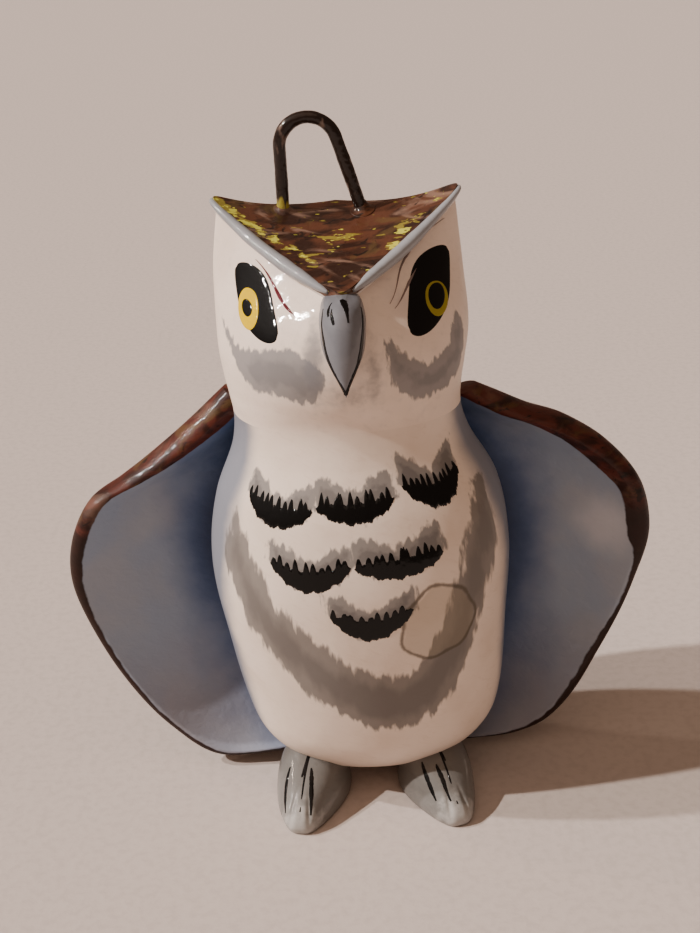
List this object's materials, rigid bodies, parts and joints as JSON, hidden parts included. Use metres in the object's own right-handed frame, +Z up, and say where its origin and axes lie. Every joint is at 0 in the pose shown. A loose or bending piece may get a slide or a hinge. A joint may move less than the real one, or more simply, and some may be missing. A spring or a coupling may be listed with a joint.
{
  "type": "owl figurine",
  "caption": "Standing owl ornament with spread cape-like wings, a three-cornered crown with ear tips, a hooked beak and a wire hanging loop.",
  "frame": {"origin": "centre of the bounding box at the ground, between the soles and the foot of the tail", "axes": "+Z up, the face and toes look along -Y, +X is the owl's left and the viewer's right"},
  "size_m": [0.0718, 0.0335, 0.0824],
  "materials": {
    "white_clay": "varnished white paint with black and grey feather marks",
    "face_clay": "varnished white paint with black eyes, yellow irises and grey cheeks",
    "crown_brown": "varnished marbled brown paint with yellow flecks",
    "grey_clay": "varnished grey paint",
    "beak_grey": "varnished grey paint with a black outline",
    "wing_clay": "varnished blue-grey airbrushed front with a brown rim and back",
    "foot_grey": "varnished grey paint with black toe lines",
    "tail_brown": "varnished brown paint",
    "loop_wire": "wire overpainted in dark brown"
  },
  "bodies": {
    "root": {"torso": "white_clay", "head": "face_clay", "crown": "crown_brown", "brow_left": "grey_clay", "brow_right": "grey_clay", "beak": "beak_grey", "wing_left": "wing_clay", "wing_right": "wing_clay", "foot_left": "foot_grey", "foot_right": "foot_grey", "tail": "tail_brown", "hanger_loop": "loop_wire"}
  },
  "joints": []
}
